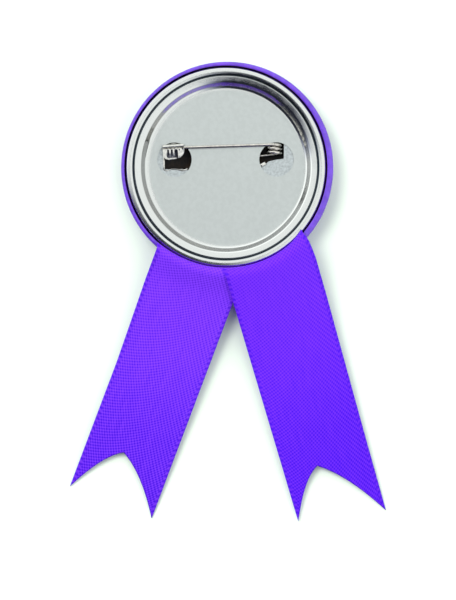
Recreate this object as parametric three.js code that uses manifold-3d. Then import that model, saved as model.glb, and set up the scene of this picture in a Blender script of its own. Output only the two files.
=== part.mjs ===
// Round pin-back award badge with two swallow-tailed ribbon tails, lying face down.
// Millimetres, +Z up, out of the badge's back. The badge's axis is x = y = 0, and z = 0 is the
// middle of the domed front. The tails run towards -Y.
import * as THREE from 'three';
import { mergeVertices } from 'three/addons/utils/BufferGeometryUtils.js';
import Module from 'manifold-3d';

const wasm = await Module();
wasm.setup();

// ---------------------------------------------------------------- driving dimensions
const TURN = 2 * Math.PI;
const SEGMENTS = 40; // facets round every turned or pressed piece

// The covered front: tin shell, paper disc and clear film, one outside the other.
const BADGE_RADIUS = 29.0; // a 58 mm badge
const FLAT_RADIUS = 7.0; // the flat middle of the dome, which the badge rests on
const DOME_RADIUS = 26.3; // where the dome turns into the rim
const DOME_RISE = 3.1;
const DOME_SHARES = [0.4, 0.72]; // where the dome's curve is faceted, from its flat to its edge
const RIM_CURVE = 3.9; // radius of the bend from the dome up to the side
const LIP_CURVE = 0.7; // radius of the fold over the shell's edge
const FOLD_FOOT = 5.95; // height at which the folded-in cover ends
const FILM = 0.15;
const PAPER = 0.15;
const SHELL = 0.3;
const LAYER_GAP = 0.06;

// The tin back with its raised bead and its two windows.
const TIN = 0.3;
const PLATE_Z = 5.75; // middle of the sheet
const BEAD_Z = 7.75;
const EDGE_RADIUS = 27.1;
const WINDOW_RADIUS = 4.7;
const WINDOWS = [[-14.43, 2.26], [13.45, 2.3]];

// The steel strip behind the windows, with its lanced catch and the slot for the spring.
const STRIP = { left: -19.8, right: 19.0, bottom: -3.6, top: 8.2, corner: 3.0, z: 4.9, thick: 0.4 };
const CATCH_SLOT = [[-17.3, -0.25], [-17.3, 6.1], [-9.4, 6.1], [-9.4, -0.45]];
const SPRING_SLOT = [[8.7, 0.5], [8.7, 7.2], [15.45, 7.2], [15.45, 2.55], [11.3, 1.8]];
const CATCH = {
  left: -17.7,
  right: -11.9,
  tip: 2.3, // the far end of the tongue that covers the pin
  wall: 6.32, // where it stands up from the strip
  turn: 4, // degrees, to lie along the arm
  arch: 8.4, // height of the tongue's middle
  flare: 0.2, // how far its end lifts
  curl: 0.6, // radius of the bend over the pin
};
const CATCH_NECK = { left: -16.1, right: -12.7, top: 6.7, overlap: 0.3, foot: 4.95 };
const TONGUE = { leftShoulder: 1.3, rightShoulder: 1.7, leftBend: 1.8, bow: 0.1 };
const LEG_TAB = { radius: 0.55, length: 1.5, turn: 0.5, at: [9.75, 0.9, 5.1] };

// The pin: a sharpened spring-wire arm and the torsion coil that it leaves from.
const WIRE = 0.4; // radius
const PIN_Z = 6.75;
const COIL = { x: 12.9, y: 6.36, radius: 1.8, pitch: 1.05, turns: 2.5, leg: 5 };
const PIVOT_X = 10.4;
const PIN_TIP = [-16.9, 5.38];
const POINT_LENGTH = 5;
const WIRE_SIDES = 12;
const COIL_SIDES = 8;
const COIL_STEPS = 46;
const FIT = 0.3; // what neighbouring cut ends keep clear

// The two ribbon tails. Each outline is drawn hanging straight down, then turned about the axis.
const RIBBON = 0.4;
const TUCK = 0.19; // where the ribbon is squeezed in under the rim
const TUCK_RADIUS = 27.425;
const TUCK_PATH = [[0, 5.7], [0, 7.4], [0.15, 7.9], [0.55, 8.25]]; // distance out from the tuck, height
const BEND_Y = -30; // the line that the tails fold up along
const CUT_BOW = 1.2; // how far the swallow-tail's cuts bow into the ribbon
const PLAN_TOP = -15; // where a tail's plan starts, well inside the rim
const CUTTER = { side: 60, foot: -120, low: -5, high: 20 }; // taller and wider than both tails
const TAILS = [
  {
    side: 'left',
    turn: -20.7,
    top: [-9.6, 14.5],
    tips: [[-9.55, -96.9], [14.55, -97.2]],
    notch: [0.97, -82.9],
    hump: [[28.6, 8.4], [29.6, 8.3]],
    fall: [[31.0, 7.72], [35.0, 6.65], [42, 5.3], [54, 3.7], [70, 2.6], [84, 1.9], [92, 1.2], [98.6, 0.26]],
  },
  {
    side: 'right',
    turn: 16.1,
    top: [-8.7, 16.3],
    tips: [[-8.15, -98.5], [15.8, -102.2]],
    notch: [1.1, -85.2],
    hump: [[28.6, 8.55], [29.6, 8.7]],
    fall: [[31.5, 8.62], [36, 7.95], [43, 6.3], [55, 4.3], [72, 2.9], [87, 2.1], [96, 1.3], [103.8, 0.26]],
  },
];

// ---------------------------------------------------------------- helpers
const point = (x, y) => new THREE.Vector2(x, y);

function arc(cx, cy, radius, from, to, steps) {
  const points = [];
  for (let i = 0; i <= steps; i += 1) {
    const a = THREE.MathUtils.degToRad(from + ((to - from) * i) / steps);
    points.push(point(cx + radius * Math.cos(a), cy + radius * Math.sin(a)));
  }
  return points;
}

// The line moved sideways to its left by a distance, with mitred corners.
function beside(line, distance) {
  return line.map((p, i) => {
    const before = line[Math.max(i - 1, 0)];
    const after = line[Math.min(i + 1, line.length - 1)];
    const a = i > 0 ? p.clone().sub(before).normalize() : after.clone().sub(p).normalize();
    const b = i < line.length - 1 ? after.clone().sub(p).normalize() : a;
    const normal = point(-a.y - b.y, a.x + b.x).normalize();
    const stretch = 1 / Math.max(normal.dot(point(-a.y, a.x)), 0.5);
    return p.clone().addScaledVector(normal, distance * stretch);
  });
}

// The closed outline of a sheet that follows a line, from one offset to another.
const sheet = (line, from, to) => [...beside(line, from), ...beside(line, to).reverse()];

// A body turned about Z from a (radius, height) outline.
function turned(outline, closed) {
  const profile = closed ? [...outline, outline[0]] : outline;
  const geometry = new THREE.LatheGeometry(profile, SEGMENTS);
  return geometry.rotateX(Math.PI / 2);
}

// An upright prism over a plan outline.
function prism(shape, low, high) {
  const settings = { depth: high - low, bevelEnabled: false, curveSegments: 6 };
  return new THREE.ExtrudeGeometry(shape, settings).translate(0, 0, low);
}

function block(x0, x1, y0, y1, z0, z1) {
  const box = new THREE.BoxGeometry(x1 - x0, y1 - y0, z1 - z0);
  return box.translate((x0 + x1) / 2, (y0 + y1) / 2, (z0 + z1) / 2);
}

function solid(geometry) {
  const bare = geometry.clone();
  bare.deleteAttribute('normal');
  bare.deleteAttribute('uv');
  const merged = mergeVertices(bare, 1e-5);
  const corners = Array.from(merged.index.array);
  const whole = [];
  for (let i = 0; i < corners.length; i += 3) {
    const [a, b, c] = corners.slice(i, i + 3);
    if (a !== b && b !== c && c !== a) {
      whole.push(a, b, c);
    }
  }
  return new wasm.Manifold(new wasm.Mesh({
    numProp: 3,
    vertProperties: new Float32Array(merged.attributes.position.array),
    triVerts: new Uint32Array(whole),
  }));
}

function surface(body) {
  const mesh = body.getMesh();
  const geometry = new THREE.BufferGeometry();
  geometry.setAttribute('position', new THREE.BufferAttribute(mesh.vertProperties, 3));
  geometry.setIndex(new THREE.BufferAttribute(mesh.triVerts, 1));
  geometry.computeVertexNormals();
  return geometry;
}

function finish(color, roughness, metalness) {
  return new THREE.MeshStandardMaterial({ color, roughness, metalness });
}

const PURPLE_SATIN = [0x7433f5, 0.55, 0];
const PURPLE_FILM = [0x8a62d8, 0.25, 0];
const PURPLE_PAPER = [0x8a62d8, 0.8, 0];
const TINPLATE = [0xcdd3cf, 0.35, 1];
const STEEL = [0xb9bcb8, 0.3, 1];

const badge = new THREE.Group();

function add(name, geometry, look) {
  const mesh = new THREE.Mesh(geometry, finish(...look));
  mesh.name = name;
  badge.add(mesh);
  return mesh;
}

// ---------------------------------------------------------------- covered front
// The outside of the cover, from the axis out over the dome, round the rim and into the fold.
const domeCurve = DOME_RISE / (DOME_RADIUS - FLAT_RADIUS) ** 2;
const rimCentre = BADGE_RADIUS - RIM_CURVE;
const rimSlope = THREE.MathUtils.radToDeg(Math.asin((DOME_RADIUS - rimCentre) / RIM_CURVE));
const sideZ = DOME_RISE + RIM_CURVE * Math.cos(THREE.MathUtils.degToRad(rimSlope));
const foldCentre = BADGE_RADIUS - LIP_CURVE;

function dome() {
  const points = [point(0, 0), point(FLAT_RADIUS, 0)];
  for (const share of DOME_SHARES) {
    const out = share * (DOME_RADIUS - FLAT_RADIUS);
    points.push(point(FLAT_RADIUS + out, domeCurve * out ** 2));
  }
  return [...points, ...arc(rimCentre, sideZ, RIM_CURVE, rimSlope - 90, 0, 4)];
}

const foldArc = arc(foldCentre, sideZ, LIP_CURVE, 0, 180, 6).slice(1);
const coverLine = [...dome(), ...foldArc, point(foldCentre - LIP_CURVE, FOLD_FOOT)];
const paperFrom = FILM + LAYER_GAP;
const shellFrom = paperFrom + PAPER + LAYER_GAP;

add('cover_film', turned(sheet(coverLine, 0, FILM)), PURPLE_FILM);
add('cover_paper', turned(sheet(coverLine, paperFrom, paperFrom + PAPER)), PURPLE_PAPER);
add('front_shell', turned(sheet(dome(), shellFrom, shellFrom + SHELL)), TINPLATE);

// ---------------------------------------------------------------- back plate
// From the flat middle up the wall, over a small ridge and groove, and round the bead.
const plateLine = [
  point(0, PLATE_Z),
  point(20.9, PLATE_Z),
  point(21.7, PLATE_Z + 0.2),
  point(22.5, PLATE_Z + 0.75),
  point(23.3, PLATE_Z + 1.35),
  point(24.1, BEAD_Z - 0.25),
  point(24.6, BEAD_Z - 0.2),
  point(25.1, BEAD_Z - 0.4),
  point(25.6, BEAD_Z - 0.08),
  point(26.0, BEAD_Z),
  point(26.7, BEAD_Z),
  point(27.0, BEAD_Z - 0.25),
  point(EDGE_RADIUS, BEAD_Z - 0.6),
  point(EDGE_RADIUS, BEAD_Z - 1.5),
];

let plate = solid(turned(sheet(plateLine, -TIN / 2, TIN / 2)));
for (const [x, y] of WINDOWS) {
  const punch = new THREE.CylinderGeometry(WINDOW_RADIUS, WINDOW_RADIUS, 4, 32);
  plate = plate.subtract(solid(punch.rotateX(Math.PI / 2).translate(x, y, PLATE_Z)));
}
add('back_plate', surface(plate), TINPLATE);

// ---------------------------------------------------------------- pin strip with its catch
function roundedStrip() {
  const { left, right, bottom, top, corner } = STRIP;
  const shape = new THREE.Shape();
  shape.moveTo(left + corner, bottom);
  shape.lineTo(right - corner, bottom);
  shape.quadraticCurveTo(right, bottom, right, bottom + corner);
  shape.lineTo(right, top - corner);
  shape.quadraticCurveTo(right, top, right - corner, top);
  shape.lineTo(left + corner, top);
  shape.quadraticCurveTo(left, top, left, top - corner);
  shape.lineTo(left, bottom + corner);
  shape.quadraticCurveTo(left, bottom, left + corner, bottom);
  for (const slot of [CATCH_SLOT, SPRING_SLOT]) {
    shape.holes.push(new THREE.Path(slot.map(([x, y]) => point(x, y))));
  }
  return prism(shape, STRIP.z, STRIP.z + STRIP.thick);
}

// The catch's side view in (Y, Z): up from the strip, over, and out over the pin.
function catchLip() {
  const half = STRIP.thick / 2;
  const { wall, tip, arch, flare, curl } = CATCH;
  const line = [
    point(wall, CATCH_NECK.top - CATCH_NECK.overlap),
    ...arc(wall - curl, arch - curl, curl, 0, 90, 4),
    point(tip - 0.5, arch + flare),
  ];
  const outline = new THREE.Shape(sheet(line, -half, half));
  const width = CATCH.right - CATCH.left;
  const lip = new THREE.ExtrudeGeometry(outline, { depth: width, bevelEnabled: false });
  lip.rotateX(Math.PI / 2).rotateZ(Math.PI / 2).translate(CATCH.left, 0, 0);
  return solid(lip).intersect(solid(prism(tonguePlan(), 0, CUTTER.high)));
}

// The tongue seen from above: square at the wall, rounded towards its tip.
function tonguePlan() {
  const { left, right, tip, wall } = CATCH;
  const leftY = tip + TONGUE.leftShoulder;
  const rightY = tip + TONGUE.rightShoulder;
  const shape = new THREE.Shape();
  shape.moveTo(left - 1, wall + 1);
  shape.lineTo(left - 1, leftY);
  shape.lineTo(left, leftY);
  shape.quadraticCurveTo(left + 0.2, tip, left + TONGUE.leftBend, tip);
  shape.quadraticCurveTo(right - 0.5, tip - TONGUE.bow, right, rightY);
  shape.lineTo(right + 1, rightY);
  shape.lineTo(right + 1, wall + 1);
  return shape;
}

function turnedCatch() {
  const half = STRIP.thick / 2;
  const { left, right, top, foot } = CATCH_NECK;
  const neck = block(left, right, CATCH.wall - half, CATCH.wall + half, foot, top);
  const middle = (CATCH.left + CATCH.right) / 2;
  const hook = surface(catchLip().add(solid(neck)));
  hook.translate(-middle, -CATCH.wall, 0);
  hook.rotateZ(THREE.MathUtils.degToRad(CATCH.turn));
  hook.translate(middle, CATCH.wall, 0);
  return solid(hook);
}

// The small tab, folded up beside the spring slot, that the coil's leg hooks under.
function legTab() {
  const tab = new THREE.CylinderGeometry(LEG_TAB.radius, LEG_TAB.radius, LEG_TAB.length, 10);
  tab.rotateX(Math.PI / 2).rotateY(Math.PI / 2).rotateZ(LEG_TAB.turn);
  return solid(tab.translate(...LEG_TAB.at));
}

add('pin_strip', surface(solid(roundedStrip()).add(turnedCatch()).add(legTab())), STEEL);

// ---------------------------------------------------------------- pin wire
// The arm's direction in plan, from the coil to the point.
const armSlope = (COIL.y - PIN_TIP[1]) / (COIL.x - PIN_TIP[0]);
const armY = (x) => COIL.y - armSlope * (COIL.x - x);

function pinArm() {
  const start = PIVOT_X - FIT / 2;
  const length = Math.hypot(start - PIN_TIP[0], armY(start) - PIN_TIP[1]);
  const profile = [
    point(0, 0),
    point(WIRE, 0),
    point(WIRE, length - POINT_LENGTH),
    point(WIRE * 0.6, length - POINT_LENGTH * 0.4),
    point(0, length),
  ];
  const arm = new THREE.LatheGeometry(profile, WIRE_SIDES);
  return arm.rotateZ(Math.PI / 2 + Math.atan(armSlope)).translate(start, armY(start), PIN_Z);
}

// The wire's middle from beside the arm, over the coil's top, round it and out along the leg.
class CoilPath extends THREE.Curve {
  getPoint(t) {
    const start = PIVOT_X + FIT / 2;
    const lead = COIL.x - start;
    const turn = TURN * COIL.radius;
    const round = COIL.turns * turn;
    const along = t * (lead + round + COIL.leg);
    const centreZ = PIN_Z - COIL.radius;
    if (along < lead) {
      return new THREE.Vector3(start + along, armY(start + along), PIN_Z);
    }
    const wound = Math.min(along - lead, round) / turn;
    const angle = wound * TURN;
    const leg = Math.max(along - lead - round, 0);
    const x = COIL.x + COIL.radius * Math.sin(angle) - leg;
    return new THREE.Vector3(x, COIL.y - COIL.pitch * wound, centreZ + COIL.radius * Math.cos(angle));
  }
}

function pinCoil() {
  const lastSide = 360 - 360 / COIL_SIDES;
  const section = new THREE.Shape(arc(0, 0, WIRE, 0, lastSide, COIL_SIDES - 1));
  const settings = { steps: COIL_STEPS, bevelEnabled: false, extrudePath: new CoilPath() };
  return new THREE.ExtrudeGeometry(section, settings);
}

add('pin_arm', pinArm(), STEEL);
add('pin_coil', pinCoil(), STEEL);

// ---------------------------------------------------------------- ribbon tails
// A cut that bows to its left by a distance on its way to a corner.
function bowedTo(shape, from, to, bow) {
  const length = Math.hypot(to[0] - from[0], to[1] - from[1]);
  const across = [-(to[1] - from[1]) / length, (to[0] - from[0]) / length];
  const middle = [(from[0] + to[0]) / 2, (from[1] + to[1]) / 2];
  shape.quadraticCurveTo(middle[0] + 2 * bow * across[0], middle[1] + 2 * bow * across[1], to[0], to[1]);
}

// A tail's plan: two straight selvedges and a swallow-tailed end with bowed cuts.
function tailPlan({ turn, top, tips, notch }, spare) {
  const first = [tips[0][0] - spare, tips[0][1]];
  const last = [tips[1][0] + spare, tips[1][1]];
  const shape = new THREE.Shape();
  shape.moveTo(top[0] - spare, PLAN_TOP);
  shape.lineTo(...first);
  bowedTo(shape, first, notch, CUT_BOW);
  bowedTo(shape, notch, last, CUT_BOW);
  shape.lineTo(top[1] + spare, PLAN_TOP);
  const upright = prism(shape, CUTTER.low, CUTTER.high);
  return solid(upright.rotateZ(THREE.MathUtils.degToRad(turn)));
}

// Out of the gap beside the bead, over the rim, and down to the table.
function ribbonRing({ hump, fall }, thickness) {
  const falling = new THREE.SplineCurve([...hump, ...fall].map(([r, z]) => point(r, z)));
  const tucked = TUCK_PATH.map(([out, z]) => point(TUCK_RADIUS + out, z));
  const line = [...tucked, ...falling.getPoints(18)];
  return solid(turned(sheet(line, -thickness / 2, thickness / 2), true));
}

const { side, foot, low, high } = CUTTER;
const nearSide = solid(block(-side, side, BEND_Y + FIT / 2, 0, low, high));
const farSide = solid(block(-side, side, foot, BEND_Y - FIT / 2, low, high));
const [leftTail, rightTail] = TAILS;
const rightPlan = tailPlan(rightTail, 0);
const leftPlan = tailPlan(leftTail, 0).subtract(tailPlan(rightTail, FIT));
const leftRoot = ribbonRing(leftTail, TUCK).intersect(leftPlan).intersect(nearSide);
const rightRoot = ribbonRing(rightTail, TUCK).intersect(rightPlan).intersect(nearSide);

add('ribbon_left_root', surface(leftRoot), PURPLE_SATIN);
add('ribbon_right_root', surface(rightRoot), PURPLE_SATIN);
for (const tail of TAILS) {
  const whole = ribbonRing(tail, RIBBON).intersect(tailPlan(tail, 0));
  add(`ribbon_${tail.side}_tail`, surface(whole.intersect(farSide)), PURPLE_SATIN);
}

export default badge;
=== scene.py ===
# %% [markdown]
# # A pin-back award badge with two satin tails
#
# The badge lies face down, so what shows is its pressed tin back, the steel pin, the rim of the
# covered front and two ribbon tails. Each cell says what a piece is on the real badge, how it could be
# made, and why this way was chosen. The frame holds the sizes: every Blender piece is worked out from
# the boxes of the frame's nodes, in metres, with the badge's axis at x = y = 0.

# %% Load the frame
import math

import bmesh
import bpy
import numpy as np
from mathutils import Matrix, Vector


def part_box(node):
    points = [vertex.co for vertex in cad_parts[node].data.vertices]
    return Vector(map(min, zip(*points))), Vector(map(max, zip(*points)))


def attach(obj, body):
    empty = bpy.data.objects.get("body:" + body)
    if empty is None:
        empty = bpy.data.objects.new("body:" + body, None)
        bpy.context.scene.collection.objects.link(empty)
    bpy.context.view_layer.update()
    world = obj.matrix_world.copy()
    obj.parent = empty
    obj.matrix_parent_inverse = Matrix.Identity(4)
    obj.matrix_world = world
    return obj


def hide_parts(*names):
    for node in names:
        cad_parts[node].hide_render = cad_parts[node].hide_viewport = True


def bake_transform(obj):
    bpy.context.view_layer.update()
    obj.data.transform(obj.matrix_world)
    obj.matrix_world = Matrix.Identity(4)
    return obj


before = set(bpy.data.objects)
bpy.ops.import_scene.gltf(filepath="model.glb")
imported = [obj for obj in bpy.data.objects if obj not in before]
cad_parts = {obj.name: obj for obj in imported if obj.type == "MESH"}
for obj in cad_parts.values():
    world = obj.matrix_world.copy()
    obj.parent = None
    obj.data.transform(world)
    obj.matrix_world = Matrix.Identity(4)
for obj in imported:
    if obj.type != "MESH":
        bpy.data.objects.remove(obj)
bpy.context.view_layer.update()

# %% [markdown]
# ## Driving sizes
#
# Most numbers below are in millimetres, because that is how a badge maker thinks, and `MM` turns them
# into metres when a mesh is made. The rim, the bead and the pin are read from the frame, so that the
# fine surfaces land where the plain solids are. The press has set the tin back a little off the middle
# of the cover, and `OFF_CENTRE` says how far.

# %% Sizes
MM = 0.001


def box_mm(node):
    """The lowest and highest corner of a frame node, in millimetres."""
    low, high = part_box(node)
    return np.array(low) / MM, np.array(high) / MM


RIM_RADIUS = box_mm("cover_film")[1][0]
BEAD_TOP = box_mm("back_plate")[1][2]
COIL_RIGHT = box_mm("pin_coil")[1][0]
STRIP_LOW, STRIP_HIGH = box_mm("pin_strip")
ARM_LOW, ARM_HIGH = box_mm("pin_arm")
OFF_CENTRE = (-0.38, 0.2)
print("rim radius", round(RIM_RADIUS, 2), "bead top", round(BEAD_TOP, 2))

# %% [markdown]
# ## Camera
#
# The badge is seen from straight above. A long lens far away keeps the raised rim and the flat tails at
# the same scale. The picture's long side spans 164 mm, and the camera stands over the middle of the
# badge and its tails.

# %% Camera
SPAN = 0.164
DISTANCE = 1.6
RIM_HEIGHT = 0.0056
AIM = (0.0002, -0.0361)

camera_data = bpy.data.cameras.new("camera")
camera_data.sensor_width = 36
camera_data.lens = camera_data.sensor_width * (DISTANCE - RIM_HEIGHT) / SPAN
camera = bpy.data.objects.new("camera", camera_data)
camera.location = (*AIM, DISTANCE)
bpy.context.scene.collection.objects.link(camera)
bpy.context.scene.camera = camera
print("lens", round(camera_data.lens, 1))

# %% [markdown]
# ## Mesh tools
#
# Nearly every piece here is a grid of points worked out with numpy: a profile turned about an axis, a
# section carried along a wire, or a ribbon's rows and columns. `grid_piece` puts such a grid into a mesh
# with its UV map, and can close it round either way.


# %% Grid to mesh
def grid_piece(name, points, uv, around=False, looped=False):
    """A mesh from points[row, column]. Faces join neighbouring rows and columns, and `around` joins the
    last column to the first, `looped` the last row to the first. uv has one more column or row where
    the grid is closed."""
    rows, columns = points.shape[:2]
    r = np.arange(rows if looped else rows - 1)[:, None]
    c = np.arange(columns if around else columns - 1)[None, :]
    ring = [(r, c), (r, c + 1), (r + 1, c + 1), (r + 1, c)]
    faces = np.stack([(i % rows) * columns + (j % columns) + 0 * r for i, j in ring], axis=-1)
    corners = np.stack([uv[i + 0 * j, j + 0 * i] for i, j in ring], axis=2)
    mesh = bpy.data.meshes.new(name)
    mesh.from_pydata((points.reshape(-1, 3) * MM).tolist(), [], faces.reshape(-1, 4).tolist())
    layer = mesh.uv_layers.new(name="size")
    layer.data.foreach_set("uv", corners.reshape(-1).astype(np.float32))
    return link_piece(name, mesh)


def link_piece(name, mesh):
    """A smooth-shaded object for a mesh, linked to the scene."""
    mesh.polygons.foreach_set("use_smooth", [True] * len(mesh.polygons))
    piece = bpy.data.objects.new(name, mesh)
    bpy.context.scene.collection.objects.link(piece)
    return piece


def mend(piece, reach=1e-7):
    """Merges doubled points, as at a pole, drops empty faces and turns every face outwards."""
    work = bmesh.new()
    work.from_mesh(piece.data)
    bmesh.ops.remove_doubles(work, verts=work.verts, dist=reach)
    bmesh.ops.dissolve_degenerate(work, edges=work.edges, dist=reach)
    bmesh.ops.recalc_face_normals(work, faces=work.faces)
    work.to_mesh(piece.data)
    work.free()
    return piece


def finished(piece):
    """Replaces a piece's mesh by what its modifiers make of it, and removes them."""
    graph = bpy.context.evaluated_depsgraph_get()
    mesh = bpy.data.meshes.new_from_object(piece.evaluated_get(graph))
    piece.modifiers.clear()
    piece.data = mesh
    return piece


def thickened(piece, thickness):
    """Gives a surface its thickness, half on either side, and mends it."""
    sheet = piece.modifiers.new("thickness", "SOLIDIFY")
    sheet.thickness, sheet.offset = thickness * MM, 0
    return mend(finished(piece))


def report(piece):
    """Prints what a cell made."""
    size = np.ptp(np.array([v.co for v in piece.data.vertices]), axis=0) / MM
    print(piece.name, len(piece.data.polygons), "faces,", size.round(1), "mm")


# %% [markdown]
# ## Profiles
#
# A pressed or turned part is described by its section. `rounded` takes the corners of that section and
# replaces each by an arc, as a press tool does, and `sheet_outline` gives the section its thickness.


# %% Section curves
def rounded(corners, radii, steps=7):
    """The polyline through corners with each inner corner replaced by an arc of the given radius. The
    arc starts radius * tan(turn / 2) before the corner, and steps points follow it."""
    corners = np.array(corners, float)
    line = [corners[:1]]
    for before, corner, after, radius in zip(corners[:-2], corners[1:-1], corners[2:], radii):
        a = (before - corner) / np.linalg.norm(before - corner)
        b = (after - corner) / np.linalg.norm(after - corner)
        half = math.acos(np.clip(-a @ b, -1, 1)) / 2
        reach = radius * math.tan(half)
        centre = corner + (a + b) / np.linalg.norm(a + b) * radius / math.cos(half)
        start, end = corner + a * reach - centre, corner + b * reach - centre
        t = np.linspace(0, 1, steps)[:, None]
        swing = 2 * half
        line.append(centre + (np.sin((1 - t) * swing) * start + np.sin(t * swing) * end) / math.sin(swing))
    line.append(corners[-1:])
    return np.concatenate(line)


def normals_of(line):
    """Unit normals to the left of a polyline, averaged at its corners."""
    step = np.diff(line, axis=0)
    step /= np.linalg.norm(step, axis=1)[:, None]
    both = np.concatenate([step[:1], step[:-1] + step[1:], step[-1:]])
    both /= np.linalg.norm(both, axis=1)[:, None]
    return np.stack([-both[:, 1], both[:, 0]], axis=1)


def sheet_outline(line, low, high):
    """The section of a sheet: the line moved left by low, then back along the line moved left by high."""
    side = normals_of(line)
    return np.concatenate([line + low * side, (line + high * side)[::-1]])


def ease(t):
    """3 t^2 - 2 t^3, held between 0 and 1."""
    t = np.clip(t, 0, 1)
    return t * t * (3 - 2 * t)


def smooth_through(points, count):
    """A Catmull-Rom curve through points: p(t) = sum of the four nearest points times cubic weights."""
    p = np.array(points, float)
    p = np.concatenate([[2 * p[0] - p[1]], p, [2 * p[-1] - p[-2]]])
    at = np.linspace(0, len(p) - 3 - 1e-9, count)
    i, t = at.astype(int), (at % 1)[:, None]
    a, b, c, d = p[i], p[i + 1], p[i + 2], p[i + 3]
    return 0.5 * (2 * b + (c - a) * t + (2 * a - 5 * b + 4 * c - d) * t**2 + (3 * b - a - 3 * c + d) * t**3)


# %% [markdown]
# ## Turned pieces
#
# The covered front and the tin back are figures of revolution. A Screw modifier would also do, but the
# grid gives a UV map in millimetres along the section, which the finishes use for marks that run round
# the rim.


# %% Turn a section
SIDES = 288


def turned(name, outline, centre=(0, 0), share=1.0):
    """The outline (radius, height) turned about an upright line: x = r cos a, y = r sin a, z = z, moved
    sideways by each point's share of the centre. Its UV is the way round at the rim's radius and the
    way along the outline, in millimetres."""
    angle = np.arange(SIDES) / SIDES * 2 * math.pi
    r, z = outline[:, :1], outline[:, 1:]
    share = np.broadcast_to(share, len(outline))[:, None]
    x = r * np.cos(angle) + share * centre[0]
    y = r * np.sin(angle) + share * centre[1]
    points = np.stack([x, y, z + 0 * angle], axis=-1)
    closed = np.concatenate([outline, outline[:1]])
    along = np.concatenate([[0], np.cumsum(np.linalg.norm(np.diff(closed, axis=0), axis=1))])
    around = np.linspace(0, 2 * math.pi * RIM_RADIUS, SIDES + 1)
    uv = np.stack(np.broadcast_arrays(around[None, :], along[:, None]), axis=-1)
    return mend(grid_piece(name, points, uv, around=True, looped=True))


# %% [markdown]
# ## Node tools
#
# Materials are node trees. `put` adds one node and feeds its inputs from numbers or from other nodes'
# sockets, so that a finish reads as a short list of steps. Effects that several finishes share are node
# groups with named inputs and outputs, built once.


# %% Node helpers
def put(tree, kind, feeds, **settings):
    """Adds a node, with its settings, and feeds inputs by name or number from sockets or values."""
    node = tree.nodes.new(kind)
    for key, value in settings.items():
        setattr(node, key, value)
    for key, value in feeds.items():
        if isinstance(value, bpy.types.NodeSocket):
            tree.links.new(value, node.inputs[key])
        else:
            node.inputs[key].default_value = value
    return node


def calc(tree, operation, *values, clamp=False):
    """One Math node's result."""
    feeds = dict(enumerate(values))
    return put(tree, "ShaderNodeMath", feeds, operation=operation, use_clamp=clamp).outputs[0]


def spread(tree, value, low, high, to_low=0.0, to_high=1.0):
    """The value taken from the span low..high to the span to_low..to_high, smoothly and no further."""
    feeds = {"Value": value, "From Min": low, "From Max": high, "To Min": to_low, "To Max": to_high}
    return put(tree, "ShaderNodeMapRange", feeds, interpolation_type="SMOOTHSTEP").outputs["Result"]


def blend_colour(tree, share, first, second, kind="MIX"):
    """A Mix node on colours: 6 and 7 are its colour inputs, and 2 its colour output."""
    feeds = {0: share, 6: first, 7: second}
    return put(tree, "ShaderNodeMix", feeds, data_type="RGBA", blend_type=kind).outputs[2]


def blend_value(tree, share, first, second):
    """A Mix node on plain values: the first where the share is 0, the second where it is 1."""
    return put(tree, "ShaderNodeMix", {0: share, 2: first, 3: second}, data_type="FLOAT").outputs[0]


def noise(tree, vector, scale, detail=3.0, rough=0.5):
    """A noise texture's value, from about 0 to 1."""
    feeds = {"Vector": vector, "Scale": scale, "Detail": detail, "Roughness": rough}
    return put(tree, "ShaderNodeTexNoise", feeds).outputs[0]


def stretched(tree, vector, x, y, z):
    """The vector with each part multiplied."""
    feeds = {0: vector, 1: (x, y, z)}
    return put(tree, "ShaderNodeVectorMath", feeds, operation="MULTIPLY").outputs[0]


def emboss(tree, shader, height, strength, distance):
    """Feeds the shader's normal from a bump of that height, and returns the normal."""
    feeds = {"Strength": strength, "Distance": distance, "Height": height}
    normal = put(tree, "ShaderNodeBump", feeds).outputs[0]
    tree.links.new(normal, shader.inputs["Normal"])
    return normal


def group(name, inputs, outputs):
    """A new node group with float, colour or vector sockets, its input node and its output node."""
    kinds = {"f": "NodeSocketFloat", "c": "NodeSocketColor", "v": "NodeSocketVector"}
    tree = bpy.data.node_groups.new(name, "ShaderNodeTree")
    for label, kind in inputs.items():
        tree.interface.new_socket(label, in_out="INPUT", socket_type=kinds[kind])
    for label, kind in outputs.items():
        tree.interface.new_socket(label, in_out="OUTPUT", socket_type=kinds[kind])
    return tree, tree.nodes.new("NodeGroupInput"), tree.nodes.new("NodeGroupOutput")


def use_group(tree, shared, feeds):
    """Places a shared node group in a material."""
    return put(tree, "ShaderNodeGroup", feeds, node_tree=shared)


def new_finish(name, **plain):
    """A material, its node tree and its Principled BSDF, with plain values on the shader's sockets."""
    material = bpy.data.materials.new(name)
    material.use_nodes = True
    shader = material.node_tree.nodes["Principled BSDF"]
    for key, value in plain.items():
        shader.inputs[key.replace("_", " ")].default_value = value
    return material, material.node_tree, shader


def wear(piece, material):
    """Gives a piece one material."""
    piece.data.materials.clear()
    piece.data.materials.append(material)
    return piece


# %% [markdown]
# ## Shared effects
#
# Handled metal and film carry two kinds of marks. `handling` is a cloudy change of gloss, from finger
# grease and uneven polish. `drawn_lines` is a field of very fine lines along one direction, left by
# rolling the sheet or drawing the wire.

# %% Shared node groups
handling_inputs = {"Place": "v", "Scale": "f", "Low": "f", "High": "f"}
handling, enter, leave = group("handling", handling_inputs, {"Gloss": "f"})
cloud = noise(handling, enter.outputs["Place"], enter.outputs["Scale"], 4, 0.6)
gloss = spread(handling, cloud, 0.3, 0.72, enter.outputs["Low"], enter.outputs["High"])
handling.links.new(gloss, leave.inputs["Gloss"])

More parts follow.
